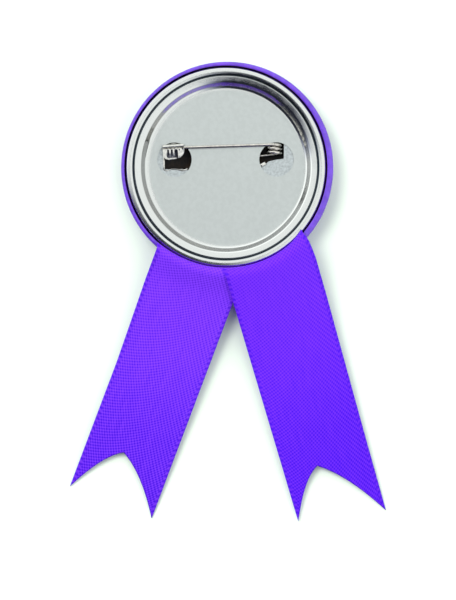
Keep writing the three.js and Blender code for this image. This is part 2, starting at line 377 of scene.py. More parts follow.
line_inputs = {"Place": "v", "Along": "v", "Scale": "f"}
drawn_lines, enter, leave = group("drawn_lines", line_inputs, {"Height": "f"})
feeds = {0: enter.outputs["Place"], 1: enter.outputs["Along"]}
squeezed = put(drawn_lines, "ShaderNodeVectorMath", feeds, operation="MULTIPLY").outputs[0]
lines = noise(drawn_lines, squeezed, enter.outputs["Scale"], 3, 0.65)
drawn_lines.links.new(lines, leave.inputs["Height"])
print("node groups:", [g.name for g in bpy.data.node_groups])

# %% [markdown]
# ## Tinplate finish
#
# The back is pressed from tinplate. The flat middle keeps the mill's satin surface, with faint rolling
# lines. The wall, the ridge and the bead are stretched by the press and polished by its tool, so they
# mirror what is round them. The gloss therefore changes with the distance from the badge's axis, which
# Object coordinates give directly. A thin dark ring of painted shade lies in the groove inside the bead,
# and that ring follows the tin back's own axis.

# %% Tinplate
MATTE_RADIUS = 20.9 * MM
POLISHED_RADIUS = 21.6 * MM
BEAD_INNER = 25.1 * MM
GROOVE_RADIUS = 25.32 * MM
# A thin ring of painted shade in the groove inside the bead: where it is full, where it is gone, its share
# and colour.
GROOVE_SHADE_FULL, GROOVE_SHADE_GONE = 0.16 * MM, 0.36 * MM
GROOVE_SHADE_SHARE = 0.9
GROOVE_SHADE = (0.045, 0.075, 0.11, 1)
TIN_AXIS = (OFF_CENTRE[0] * MM, OFF_CENTRE[1] * MM, 0)
SATIN_TIN = [(0.57, 0.602, 0.584, 1), (0.595, 0.628, 0.61, 1)]
BRIGHT_TIN = (0.62, 0.633, 0.615, 1)

tinplate, tree, shader = new_finish("tinplate", Metallic=1.0, IOR=1.5)
place = put(tree, "ShaderNodeTexCoord", {}).outputs["Object"]
way = put(tree, "ShaderNodeUVMap", {}, uv_map="size").outputs[0]
in_plan = stretched(tree, place, 1, 1, 0)
radius = put(tree, "ShaderNodeVectorMath", {0: in_plan}, operation="LENGTH").outputs["Value"]
polished = spread(tree, radius, MATTE_RADIUS, POLISHED_RADIUS)
off_axis = put(tree, "ShaderNodeVectorMath", {0: in_plan, 1: TIN_AXIS}, operation="DISTANCE")
tin_radius = off_axis.outputs["Value"]
satin_gloss = use_group(tree, handling, {"Place": place, "Scale": 260.0, "Low": 0.33, "High": 0.36})
bright_gloss = use_group(tree, handling, {"Place": place, "Scale": 420.0, "Low": 0.1, "High": 0.14})
on_bead = spread(tree, radius, BEAD_INNER, BEAD_INNER + 0.4 * MM, 0, 0.08)
bead_gloss = calc(tree, "ADD", bright_gloss.outputs["Gloss"], on_bead)
tin_gloss = blend_value(tree, polished, satin_gloss.outputs["Gloss"], bead_gloss)
tree.links.new(tin_gloss, shader.inputs["Roughness"])
mill = use_group(tree, drawn_lines, {"Place": place, "Along": (0.35, 1.0, 1.0), "Scale": 2600.0})
streaks = use_group(tree, drawn_lines, {"Place": way, "Along": (1.0, 0.12, 1.0), "Scale": 2.2})
faint_streaks = calc(tree, "MULTIPLY", streaks.outputs["Height"], 0.02)
marks = blend_value(tree, polished, mill.outputs["Height"], faint_streaks)
emboss(tree, shader, marks, 0.35, 0.00002)
tone = noise(tree, place, 900.0, 2, 0.5)
satin_tin = blend_colour(tree, spread(tree, tone, 0.35, 0.65), *SATIN_TIN)
tin_colour = blend_colour(tree, polished, satin_tin, BRIGHT_TIN)
# Painted shade: a dark ring in the groove, round the tin back's own axis.
off_groove = calc(tree, "ABSOLUTE", calc(tree, "SUBTRACT", tin_radius, GROOVE_RADIUS))
painted_groove_shade = spread(tree, off_groove, GROOVE_SHADE_FULL, GROOVE_SHADE_GONE, GROOVE_SHADE_SHARE, 0)
tin_colour = blend_colour(tree, painted_groove_shade, tin_colour, GROOVE_SHADE)
tree.links.new(tin_colour, shader.inputs["Base Color"])

# %% [markdown]
# ## Steel finish
#
# The pin, its strip and the catch are nickel-plated spring steel, with drawing lines along the wire and
# small dents that break the reflections up. The pin and the catch are a little warmer than the tin, and
# the strip behind the windows is a little cooler and smoother. The strip's cooler colour is painted
# shade, for the shade it lies in under the windows.


# %% Nickel-plated steel
def steel_finish(name, colour, along, low, high, dented):
    """Nickel plate with lines along one axis, and a roughness that wanders from low to high."""
    material, tree, shader = new_finish(name, Metallic=1.0)
    place = put(tree, "ShaderNodeTexCoord", {}).outputs["Object"]
    gloss = use_group(tree, handling, {"Place": place, "Scale": 700.0, "Low": low, "High": high})
    tree.links.new(gloss.outputs["Gloss"], shader.inputs["Roughness"])
    lines = use_group(tree, drawn_lines, {"Place": place, "Along": along, "Scale": 5000.0})
    dents = noise(tree, place, 650.0, 2, 0.4)
    height = calc(tree, "MULTIPLY_ADD", lines.outputs["Height"], 0.25, dents)
    emboss(tree, shader, height, dented, 0.00008)
    darker = tuple(0.72 * x for x in colour[:3]) + (1,)
    mixed = blend_colour(tree, spread(tree, noise(tree, place, 1500.0), 0.3, 0.75), colour, darker)
    tree.links.new(mixed, shader.inputs["Base Color"])
    return material


wire_steel = steel_finish("wire_steel", (0.66, 0.63, 0.58, 1), (0.05, 1.0, 1.0), 0.1, 0.24, 0.35)
# The strip's cooler colour is painted shade, for the shade under the windows.
strip_steel = steel_finish("strip_steel", (0.6, 0.645, 0.65, 1), (1.0, 0.3, 1.0), 0.3, 0.38, 0.05)
catch_steel = steel_finish("catch_steel", (0.66, 0.65, 0.61, 1), (1.0, 0.2, 1.0), 0.06, 0.16, 0.35)

# %% [markdown]
# ## Cover finish
#
# The front is a printed paper disc under clear film. Folding a flat disc over a round rim leaves it with
# too much material, which gathers in tiny radial puckers: they are what makes the purple ring look
# mottled. The film's gloss is a coat over the print, and the puckers are a bump that runs across the
# rim and fades on the dome.

# %% Film-covered print
PUCKER_START = 25.5 * MM
PUCKER_END = 28.0 * MM
PRINT = [(0.086, 0.0145, 0.455, 1), (0.132, 0.029, 0.6, 1)]
PAPER = [(0.14, 0.06, 0.52, 1), (0.2, 0.1, 0.6, 1)]

film, tree, shader = new_finish("film_over_print", Roughness=0.5, Coat_Weight=1.0, Coat_Roughness=0.06)
place = put(tree, "ShaderNodeTexCoord", {}).outputs["Object"]
way = put(tree, "ShaderNodeUVMap", {}, uv_map="size").outputs[0]
in_plan = stretched(tree, place, 1, 1, 0)
radius = put(tree, "ShaderNodeVectorMath", {0: in_plan}, operation="LENGTH").outputs["Value"]
folded = spread(tree, radius, PUCKER_START, PUCKER_END)
puckers = noise(tree, stretched(tree, way, 1.0, 0.25, 1.0), 1.1, 2, 0.5)
skin = calc(tree, "MULTIPLY", noise(tree, place, 1400.0, 2, 0.5), 0.06)
pucker_height = calc(tree, "MULTIPLY_ADD", puckers, folded, skin)
puckered = emboss(tree, shader, pucker_height, 0.6, 0.00012)
tree.links.new(puckered, shader.inputs["Coat Normal"])
print_tone = noise(tree, place, 500.0, 3, 0.6)
print_colour = blend_colour(tree, spread(tree, print_tone, 0.3, 0.7), *PRINT)
tree.links.new(print_colour, shader.inputs["Base Color"])

paper, tree, shader = new_finish("printed_paper", Roughness=0.75)
place = put(tree, "ShaderNodeTexCoord", {}).outputs["Object"]
fibre = noise(tree, place, 2500.0, 4, 0.7)
paper_colour = blend_colour(tree, fibre, *PAPER)
tree.links.new(paper_colour, shader.inputs["Base Color"])
emboss(tree, shader, fibre, 0.3, 0.00003)

# %% [markdown]
# ## Satin finish
#
# Satin is woven so that each lengthwise thread floats over four crosswise ones, and the points where it
# dips under lie on a slanting lattice: one step across and two along, then two back and one along. Two
# cosine waves along that lattice's own directions give exactly that pattern of dots, in millimetres on
# the ribbon's own UV map, so it bends with the cloth. The woven edge is a band a millimetre wide where the
# weave changes and the yarns are packed more tightly. The cloth is painted brightest over the rim and
# darker further down, a painted highlight for the top of each tail, which faces the light, and a thin
# line of painted shade darkens the tips, where they curve down to the table.

# %% Satin
YARN = 0.33
EDGE_BAND = 1.05
EDGE_LOOP = 1.5
EDGE_SHARE = 0.75
# Painted highlight over the rim: where it ends and the lower tone begins, in mm along the tail, and the two
# tones.
TOP_LIGHT_END, LOWER_TONE_START = 5, 70
TOP_LIGHT_TONE, LOWER_TONE = 0.93, 0.55
# A thin line of painted shade at the tips: where it is full, where it is gone, its share and colour.
TIP_SHADE_FULL, TIP_SHADE_GONE = 0.1, 0.5
TIP_SHADE_SHARE = 0.45
TIP_SHADE = (0.03, 0.0, 0.25, 1)


def ripple(tree, value, period):
    """0.5 + 0.5 cos(2 pi value / period)."""
    phase = calc(tree, "MULTIPLY", value, 2 * math.pi / period)
    return calc(tree, "MULTIPLY_ADD", calc(tree, "COSINE", phase), 0.5, 0.5)


def lattice_wave(tree, across, along, step_across, step_along):
    """cos(2 pi (a u + b v) / (5 yarn)): ridges across the lattice direction (a, b)."""
    scale = 2 * math.pi / (5 * YARN)
    first = calc(tree, "MULTIPLY", across, step_across * scale)
    phase = calc(tree, "MULTIPLY_ADD", along, step_along * scale, first)
    return calc(tree, "COSINE", phase)


def satin_finish(name, deep, light):
    """Warp-faced satin: deep in the dips of the weave and light on the floats."""
    material, tree, shader = new_finish(name, Sheen_Weight=0.12, Sheen_Roughness=0.35)
    shader.inputs["Specular IOR Level"].default_value = 0.12
    shader.inputs["Sheen Tint"].default_value = (0.5, 0.25, 1, 1)
    uv = put(tree, "ShaderNodeUVMap", {}, uv_map="size").outputs[0]
    parts = put(tree, "ShaderNodeSeparateXYZ", {0: uv})
    across, along = parts.outputs["X"], parts.outputs["Y"]
    edge = put(tree, "ShaderNodeAttribute", {}, attribute_name="edge").outputs["Fac"]
    cut = put(tree, "ShaderNodeAttribute", {}, attribute_name="cut").outputs["Fac"]
    first = lattice_wave(tree, across, along, 1, 2)
    second = lattice_wave(tree, across, along, -2, 1)
    dots = calc(tree, "MULTIPLY_ADD", calc(tree, "ADD", first, second), 0.25, 0.5)
    yarns = ripple(tree, across, YARN)
    slub = noise(tree, stretched(tree, uv, 2.2, 0.12, 1), 1.0, 3, 0.6)
    cloth = calc(tree, "MULTIPLY_ADD", yarns, 0.25, calc(tree, "MULTIPLY", dots, -0.75))
    band = spread(tree, edge, EDGE_BAND * 0.75, EDGE_BAND, 1, 0)
    loops = ripple(tree, along, EDGE_LOOP)
    emboss(tree, shader, blend_value(tree, band, cloth, loops), 0.6, 0.00006)
    # Painted highlight: the tone is brighter over the rim and darker further down the tail.
    painted_top_light = spread(tree, along, TOP_LIGHT_END, LOWER_TONE_START, TOP_LIGHT_TONE, LOWER_TONE)
    slub_and_top_light = calc(tree, "MULTIPLY_ADD", slub, 0.5, painted_top_light)
    tone = calc(tree, "MULTIPLY_ADD", dots, -0.9, slub_and_top_light, clamp=True)
    colour = blend_colour(tree, tone, deep, light)
    edge_colour = blend_colour(tree, loops, deep, tuple(0.8 * x for x in light[:3]) + (1,))
    colour = blend_colour(tree, calc(tree, "MULTIPLY", band, EDGE_SHARE), colour, edge_colour)
    # Painted shade: a thin dark line at the tips of the tails.
    painted_tip_shade = spread(tree, cut, TIP_SHADE_FULL, TIP_SHADE_GONE, TIP_SHADE_SHARE, 0)
    colour = blend_colour(tree, painted_tip_shade, colour, TIP_SHADE)
    tree.links.new(colour, shader.inputs["Base Color"])
    rough = spread(tree, dots, 0, 1, 0.42, 0.62)
    tree.links.new(rough, shader.inputs["Roughness"])
    return material


# The two tails share one satin but differ in tone, the left lighter: painted light, for the sheen changing
# with each tail's angle to the light.
satins = {
    "left": satin_finish("purple_satin_left", (0.045, 0.0, 0.58, 1), (0.218, 0.043, 0.9, 1)),
    "right": satin_finish("purple_satin_right", (0.045, 0.0, 0.64, 1), (0.18, 0.027, 0.9, 1)),
}

# %% [markdown]
# ## Covered front
#
# A badge press lays the paper disc and the film over a tin dome and folds them in over its edge. The
# section runs from the middle of the dome, through the curve of the rim and over the fold, and ends
# inside the gap. A flat lies in the middle, on which the badge rests.

# %% Cover film
FILM = 0.15
DOME_FLAT = 7.0
DOME_EDGE = 26.3
DOME_RISE = 3.1
RIM_CURVE = RIM_RADIUS - 25.1
FOLD_OUTER, FOLD_INNER = 0.6, 0.28
COVER_TOP = box_mm("cover_film")[1][2] - 0.03
COVER_MOUTH = 27.7
FOLD_FOOT = 5.95
LEAN_EDGE = 28.75
LEAN_RUN = 0.6
LEAN_HEIGHT = 5


def arc_points(centre, radius, start, end, steps):
    """Points on a circle from one angle to another, in degrees."""
    a = np.radians(np.linspace(start, end, steps))
    return np.stack([centre[0] + radius * np.cos(a), centre[1] + radius * np.sin(a)], axis=1)


def cover_section(depth, last):
    """The cover's section at a depth under its face: a dome z = rise ((r - flat) / run)^2, an arc round
    the rim, then the fold, whose corners are rounded. Only the first `last` corners are followed."""
    centre_r = RIM_RADIUS - RIM_CURVE
    slope = math.degrees(math.asin((DOME_EDGE - centre_r) / RIM_CURVE))
    side_z = DOME_RISE + RIM_CURVE * math.cos(math.radians(slope))
    r = np.linspace(0, DOME_EDGE, 24)
    z = DOME_RISE * np.clip((r - DOME_FLAT) / (DOME_EDGE - DOME_FLAT), 0, 1) ** 2
    rim = arc_points((centre_r, side_z), RIM_CURVE - depth, slope - 90, 0, 16)[1:]
    corners = [
        (RIM_RADIUS - depth, side_z),
        (RIM_RADIUS - depth, COVER_TOP - depth),
        (COVER_MOUTH + depth, COVER_TOP - depth),
        (COVER_MOUTH + depth, FOLD_FOOT),
    ]
    fold = rounded(corners[:last], [FOLD_OUTER - depth, FOLD_INNER - depth][: last - 2], 10)[1:]
    return np.concatenate([np.stack([r, z + depth], axis=1), rim, fold])


def cover_layer(name, low, high, last):
    """A closed layer of the cover between two depths. The fold leans with the tin back, which sits a
    little off the middle of the cover."""
    outline = np.concatenate([cover_section(low, last), cover_section(high, last)[::-1]])
    leaning = ease((LEAN_EDGE - outline[:, 0]) / LEAN_RUN) * (outline[:, 1] > LEAN_HEIGHT)
    return turned(name, outline, OFF_CENTRE, leaning)


cover = cover_layer("covered_front", 0, FILM, 4)
wear(cover, film)
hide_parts("cover_film")
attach(cover, "badge")
report(cover)

# %% [markdown]
# ## Hidden front layers
#
# The printed disc lies against the film and ends at the crest of the fold, because it is cut smaller.
# The tin shell inside it only shows deep in the two windows, so the frame's own solid serves. Its inside
# is painted nearly black, which stands in for the shade deep in the windows, with random brownish patches.

# %% Printed disc and shell
# Near black with brownish patches: painted shade for the shell deep inside the windows.
SHELL_SHADE = [(0.003, 0.003, 0.004, 1), (0.036, 0.02, 0.009, 1)]

shell_shade_finish, tree, shader = new_finish("shell_in_painted_shade", Roughness=0.45)
shader.inputs["Specular IOR Level"].default_value = 0.25
place = put(tree, "ShaderNodeTexCoord", {}).outputs["Object"]
patches = noise(tree, place, 350.0, 4, 0.6)
shell_shade_colour = blend_colour(tree, spread(tree, patches, 0.35, 0.7), *SHELL_SHADE)
tree.links.new(shell_shade_colour, shader.inputs["Base Color"])
emboss(tree, shader, patches, 0.3, 0.00003)

disc = cover_layer("printed_disc", FILM + 0.01, FILM + 0.11, 3)
wear(disc, paper)
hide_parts("cover_paper")
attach(disc, "badge")
report(disc)
# The shell's inside carries painted shade.
wear(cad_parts["front_shell"], shell_shade_finish)

# %% [markdown]
# ## Tin back
#
# The back is one pressing: a flat middle, an S-shaped wall, a small ridge and groove, and a bead that
# grips the cover. Its section is a line of corners, each rounded as the press tool rounds it. The two
# windows are punched out with a Boolean, because a grid can't have round holes without bending its rows.

# %% Back plate
TIN = 0.3
PLATE_MIDDLE = BEAD_TOP - 2.15
WINDOW_RADIUS = 4.7
WINDOWS = [(-14.43, 2.26), (13.45, 2.3)]
WALL_FOOT = 21.95
WALL_SLOPE = math.radians(45.1)
WALL_RISE = 1.4
RIDGE_RISE = 1.5
FLAT_EDGE = 20.0
plate_z = BEAD_TOP - 2.0
ridge_z = plate_z + RIDGE_RISE
plate_corners = [
    (FLAT_EDGE, plate_z),
    (WALL_FOOT, plate_z),
    (WALL_FOOT + WALL_RISE / math.tan(WALL_SLOPE), plate_z + WALL_RISE),
    (24.9, ridge_z),
    (25.1, ridge_z - 0.55),
    (25.5, plate_z + 1.94),
    (26.15, plate_z + 2.06),
    (27.0, plate_z + 1.92),
    (27.33, plate_z + 1.3),
    (27.36, plate_z + 0.4),
]
plate_bends = [1.0, 1.0, 0.15, 0.05, 0.25, 1.6, 0.35, 0.5]
plate_line = rounded(plate_corners, plate_bends, 12)
inner = [[r, plate_z] for r in np.linspace(0, FLAT_EDGE, 9)]
plate_line = np.concatenate([inner, plate_line[1:]])
back = turned("tin_back", sheet_outline(plate_line, -TIN, 0), OFF_CENTRE)

for number, (x, y) in enumerate(WINDOWS):
    angle = np.arange(96) / 96 * 2 * math.pi
    reach = np.array([0, WINDOW_RADIUS, WINDOW_RADIUS, 0])[:, None]
    height = np.array([-2, -2, 2, 2])[:, None] + PLATE_MIDDLE
    spots = np.stack([x + reach * np.cos(angle), y + reach * np.sin(angle), height + 0 * angle], axis=-1)
    uv = np.zeros((len(reach), len(angle) + 1, 2))
    punch = mend(grid_piece(f"punch_{number}", spots, uv, around=True))
    cut = back.modifiers.new("window", "BOOLEAN")
    cut.object, cut.operation, cut.solver = punch, "DIFFERENCE", "EXACT"
    finished(back)
    bpy.data.objects.remove(punch)

back.data.set_sharp_from_angle(angle=math.radians(40))
wear(back, tinplate)
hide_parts("back_plate")
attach(back, "badge")
report(back)

# %% [markdown]
# ## Pin strip
#
# Behind the windows lies one strip of steel. Two slots are lanced in it: one leaves the catch standing
# at the left, and the coil sits in the other. A flat curve with holes, extruded and bevelled, gives the
# rounded edges of lanced steel. It is made a mesh at once, so that its place is in its points.

# %% Strip
STRIP_THICK = 0.4
STRIP_TOP = PLATE_MIDDLE - 0.45
STRIP_BEVEL = 0.1
STRIP_CORNER, CATCH_SLOT_CORNER, COIL_SLOT_CORNER = 3.0, 0.12, 0.3
CATCH_SLOT = [(-17.35, -0.3), (-17.3, 2.2), (-17.5, 7.2), (-9.4, 7.2), (-9.4, -0.45), (-10.6, -0.7),
              (-12.2, -0.25), (-13.6, -0.2), (-15.0, -0.5), (-16.4, -0.3)]
COIL_SLOT = [(8.7, 0.4), (8.7, 7.2), (15.45, 7.2), (15.45, 2.55), (13.4, 2.3), (11.3, 1.8), (10.6, 1.2)]


def flat_outline(data, corners, radius):
    """One closed outline of a flat curve, its corners rounded."""
    corners = np.array(corners)
    looped = np.concatenate([corners[-1:], corners, corners[:1]])
    line = rounded(looped, [radius] * len(corners), 5)[1:-1]
    spline = data.splines.new("POLY")
    spline.points.add(len(line) - 1)
    spots = np.zeros((len(line), 4))
    spots[:, :2] = line * MM
    spline.points.foreach_set("co", spots.ravel())
    spline.use_cyclic_u = True


strip_curve = bpy.data.curves.new("pin_strip_plate", "CURVE")
strip_curve.dimensions = "2D"
strip_curve.fill_mode = "BOTH"
(left, low), (right, high) = STRIP_LOW[:2], STRIP_HIGH[:2]
strip_corners = [(left, low), (right, low), (right, high), (left, high)]
flat_outline(strip_curve, strip_corners, STRIP_CORNER)
flat_outline(strip_curve, CATCH_SLOT, CATCH_SLOT_CORNER)
flat_outline(strip_curve, COIL_SLOT, COIL_SLOT_CORNER)
strip_curve.extrude = (STRIP_THICK / 2 - STRIP_BEVEL) * MM
strip_curve.bevel_depth = STRIP_BEVEL * MM
strip_curve.offset = -STRIP_BEVEL * MM
strip_curve.bevel_resolution = 3
flat_strip = bpy.data.objects.new("flat_strip", strip_curve)
strip_mesh = bpy.data.meshes.new_from_object(flat_strip)
raised = np.array([v.co for v in strip_mesh.vertices]) + [0, 0, (STRIP_TOP - STRIP_THICK / 2) * MM]
strip_mesh.vertices.foreach_set("co", raised.ravel())
bpy.data.objects.remove(flat_strip)
strip = mend(link_piece("pin_strip_plate", strip_mesh), 2e-6)
strip.data.polygons.foreach_set("use_smooth", [abs(face.normal.z) < 0.99 for face in strip.data.polygons])
wear(strip, strip_steel)
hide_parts("pin_strip")
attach(strip, "badge")
report(strip)

# %% [markdown]
# ## Catch
#
# The catch is a tongue lanced from the strip. It stands up through the window, is rolled over at the top
# and then runs forward over the pin as a dished plate with a rounded end. The roll pinches the steel,
# which leaves a row of small pleats beside the crease, and a rib stiffens the right side. Its surface is
# a grid: the rows follow the side view up and over, and the columns go from edge to edge.

# %% Catch
CATCH_WALL = 6.3
CATCH_TOP = 8.65
CATCH_TIP = 2.35
CATCH_ROLL = 0.45
CATCH_STEEL = 0.24
CATCH_TURN = math.radians(4)
CATCH_LEFT, CATCH_RIGHT = -17.7, -11.9
NECK_LEFT, NECK_RIGHT = -16.1, -12.7
CATCH_COLUMNS = 90
FLARE_HEIGHT, FLARE_RUN = 6.2, 0.6
NOSE_START = 4.2
NOSE_LEFT, NOSE_RIGHT = 1.3, 3.2
PLEAT, PLEAT_PHASE, PLEAT_RISE, PLEAT_FADE = 1.0, 16.97, 0.1, 0.45
RIB_X, RIB_WIDTH, RIB_RISE = -13.6, 0.3, 0.14
LEFT_LIP, END_LIP, RIGHT_FALL = 0.26, 0.1, 0.2

roll = arc_points((CATCH_WALL - CATCH_ROLL, CATCH_TOP - CATCH_ROLL), CATCH_ROLL, 0, 195, 22)
under = STRIP_TOP - STRIP_THICK - CATCH_STEEL / 2
neck = rounded([(CATCH_WALL + 1.5, under), (CATCH_WALL, under), roll[0]], [0.4], 6)
neck = np.concatenate([neck[:-1], np.linspace(neck[-2], roll[0], 12)[1:-1]])
crease = np.array([[roll[-1, 0] - 0.03, roll[-1, 1] - 0.12], [roll[-1, 0] - 0.14, roll[-1, 1] - 0.1]])
plate_start = (roll[-1, 0] - 0.3, CATCH_TOP - 0.02)
plate_rows = np.linspace(plate_start, (CATCH_TIP, CATCH_TOP - 0.52), 46)
rows = np.concatenate([neck, roll, crease, plate_rows])
y, z = rows[:, :1], rows[:, 1:]
flaring = ease((z - FLARE_HEIGHT) / FLARE_RUN)
rounding = np.clip((NOSE_START - y) / (NOSE_START - CATCH_TIP), 0, 1)
left_nose = NOSE_LEFT * (1 - np.sqrt(1 - 0.999 * rounding**3))
right_nose = NOSE_RIGHT * (1 - np.sqrt(1 - 0.999 * rounding**2))
left_edge = NECK_LEFT + (CATCH_LEFT - NECK_LEFT) * flaring + left_nose
right_edge = NECK_RIGHT + (CATCH_RIGHT - NECK_RIGHT) * flaring - right_nose
x = left_edge + (right_edge - left_edge) * np.linspace(0, 1, CATCH_COLUMNS)[None, :]
on_plate = ease((plate_start[0] + 0.12 - y) / 0.2)
fading = np.exp(-np.clip(plate_start[0] - y, 0, 9) / PLEAT_FADE)
pleats = PLEAT_RISE * np.cos(2 * math.pi * (x - PLEAT_PHASE) / PLEAT) * fading
rib = RIB_RISE * np.exp(-(((x - RIB_X) / RIB_WIDTH) ** 2))
left_lip = LEFT_LIP * ease((left_edge + 0.85 - x) / 0.8)
end_lip = END_LIP * ease((0.4 - (y - CATCH_TIP)) / 0.4)
right_fall = -RIGHT_FALL * ease((x - right_edge + 1.0) / 0.9)
relief = on_plate * (pleats + rib + left_lip + end_lip + right_fall)
middle = (CATCH_LEFT + CATCH_RIGHT) / 2
turned_x = middle + (x - middle) * math.cos(CATCH_TURN) - (y - CATCH_WALL) * math.sin(CATCH_TURN)
turned_y = CATCH_WALL + (x - middle) * math.sin(CATCH_TURN) + (y - CATCH_WALL) * math.cos(CATCH_TURN)
spots = np.stack([turned_x, turned_y, z + relief], axis=-1)
catch = grid_piece("catch_tongue", spots, np.zeros((len(rows), CATCH_COLUMNS, 2)))
thickened(catch, CATCH_STEEL)
catch.data.set_sharp_from_angle(angle=math.radians(60))
wear(catch, catch_steel)
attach(catch, "badge")
report(catch)

# %% [markdown]
# ## Pin wire
#
# The pin is one piece of spring wire: a ground point under the catch, a straight arm, two and a half
# turns of a coil that lie side by side, and a leg that goes under the strip. A round section is carried
# along that line, in two meshes that meet at the coil's top. The coil and the leg stay with the badge.

# %% Pin wire
WIRE = 0.4
PIN_Z = (ARM_LOW[2] + ARM_HIGH[2]) / 2
COIL_RADIUS = 1.8
COIL_X = COIL_RIGHT - WIRE - COIL_RADIUS
COIL_Y = 6.36
COIL_PITCH = 1.05
COIL_TURNS = 2.5
TIP = np.array([ARM_LOW[0], 5.38, PIN_Z])
POINT_LENGTH = 5.0
LEG_LENGTH = 5


def arm_line():
    """The arm's middle, straight from the point to the top of the coil."""
    start = np.array([COIL_X, COIL_Y, PIN_Z])
    return TIP + (start - TIP) * np.linspace(0, 1, 150)[:, None]


def coil_line():
    """The coil's middle: x = R sin a, z = R cos a with y stepping one pitch a turn, then a straight leg
    back towards the catch."""
    a = np.linspace(0, COIL_TURNS * 2 * math.pi, 160)
    coil = np.stack([COIL_X + COIL_RADIUS * np.sin(a), COIL_Y - COIL_PITCH * a / (2 * math.pi),
                     PIN_Z - COIL_RADIUS + COIL_RADIUS * np.cos(a)], axis=1)
    leg = coil[-1] + np.outer(np.linspace(0, LEG_LENGTH, 12)[1:], [-1, -0.1, 0])
    return np.concatenate([coil, leg])


def tube(name, line, radius, side=(0.0, 1.0, 0.0), sides=20):
    """A round section carried along a line: p = line + radius (n cos b + m sin b), where n is the given
    side made square to the line's direction and m is square to both."""
    way = np.gradient(line, axis=0)
    way /= np.linalg.norm(way, axis=1)[:, None]
    n = np.array(side) - (way @ np.array(side))[:, None] * way
    n /= np.linalg.norm(n, axis=1)[:, None]
    m = np.cross(way, n)
    b = (np.arange(sides) / sides * 2 * math.pi)[None, :, None]
    points = line[:, None] + radius[:, None, None] * (n[:, None] * np.cos(b) + m[:, None] * np.sin(b))
    points = np.concatenate([np.broadcast_to(line[:1, None], points[:1].shape), points,
                             np.broadcast_to(line[-1:, None], points[:1].shape)])
    uv = np.zeros((len(points), sides + 1, 2))
    return mend(grid_piece(name, points, uv, around=True))


route = arm_line()
from_tip = np.linalg.norm(route - route[0], axis=1)
thickness = WIRE * np.clip(0.12 + 0.88 * (from_tip / POINT_LENGTH) ** 0.8, 0, 1)
arm = tube("pin_wire_arm", route, thickness)
wear(arm, wire_steel)
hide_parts("pin_arm")
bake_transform(arm)
report(arm)

coil_route = coil_line()
coil = tube("pin_wire_coil", coil_route, np.full(len(coil_route), WIRE))
wear(coil, wire_steel)
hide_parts("pin_coil")
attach(coil, "badge")
report(coil)

# %% [markdown]
# ## Leg tab
#
# A small tab of the strip is folded up beside the slot, and the coil's leg hooks under it. It is a rolled
# grid: an arc carried along the fold.

# %% Leg tab
TAB_MIDDLE = (9.75, 0.95)
TAB_ANGLE = 0.5
TAB_RADIUS = 0.5
TAB_HALF = 0.85
TAB_STEEL = 0.2
a = np.linspace(math.radians(-35), math.radians(215), 18)[:, None]
along = np.linspace(-TAB_HALF, TAB_HALF, 10)[None, :]
out = TAB_RADIUS * np.cos(a) + 0 * along
up = STRIP_TOP - 0.05 + TAB_RADIUS * np.sin(a) * (1 - 0.35 * (along / TAB_HALF) ** 4)
tab_x = TAB_MIDDLE[0] + along * math.cos(TAB_ANGLE) - out * math.sin(TAB_ANGLE)
tab_y = TAB_MIDDLE[1] + along * math.sin(TAB_ANGLE) + out * math.cos(TAB_ANGLE)
spots = np.stack([tab_x, tab_y, up], axis=-1)
tab = grid_piece("leg_tab", spots, np.zeros((*up.shape, 2)))
thickened(tab, TAB_STEEL)
wear(tab, catch_steel)
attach(tab, "badge")
report(tab)

# %% [markdown]
# ## Turned lip
#
# Lancing turns the edge of the catch's slot up into a small uneven lip, on its left and along its foot.
# A round section on a wandering line, half sunk in the strip, gives that lip.

# %% Slot lip
LIP = 0.28
LIP_STEPS = 120
LIP_PATH = [(-17.5, 3.9), (-17.35, 3.0), (-17.3, 1.4), (-17.25, -0.1), (-17.0, -0.62), (-16.3, -0.66),
            (-15.4, -0.36), (-14.5, -0.3), (-13.4, -0.42), (-12.4, -0.62), (-11.6, -0.5), (-10.9, -0.2)]
lip_height = np.full((LIP_STEPS, 1), STRIP_TOP + 0.04)
lip_line = np.concatenate([smooth_through(LIP_PATH, LIP_STEPS), lip_height], axis=1)
swell = LIP * (0.75 + 0.25 * np.sin(np.linspace(0, 9, LIP_STEPS)))
lip = tube("slot_lip", lip_line, swell, side=(0.0, 0.0, 1.0), sides=16)
wear(lip, catch_steel)
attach(lip, "badge")
report(lip)

# %% [markdown]
# ## Ribbon tails
#
# Each tail is one length of satin. It comes out of the gap beside the bead, rises over the rim in a
# tight bend, and falls to the table in a long curve. The rim is round, so near it the cloth takes the
# rim's shape: its height depends on the distance from the badge's axis. The grid's columns are the
# lengthwise threads and its rows go across. The last rows follow the swallow-tail's cut, whose two
# edges bow into the cloth like a pointed arch. A simulation was the other choice, but the fold over
# the rim is too tight for a cloth grid of a sensible size, and the curve is simple enough to state.
#
# In `TAILS`, `top` holds the two side edges across the top, `sides` how far each edge strays from its
# straight line at some places down it, left and then right, `tips` and `notch` the swallow-tail, and
# `fall` the section beyond the tuck, as (distance from the axis, height).

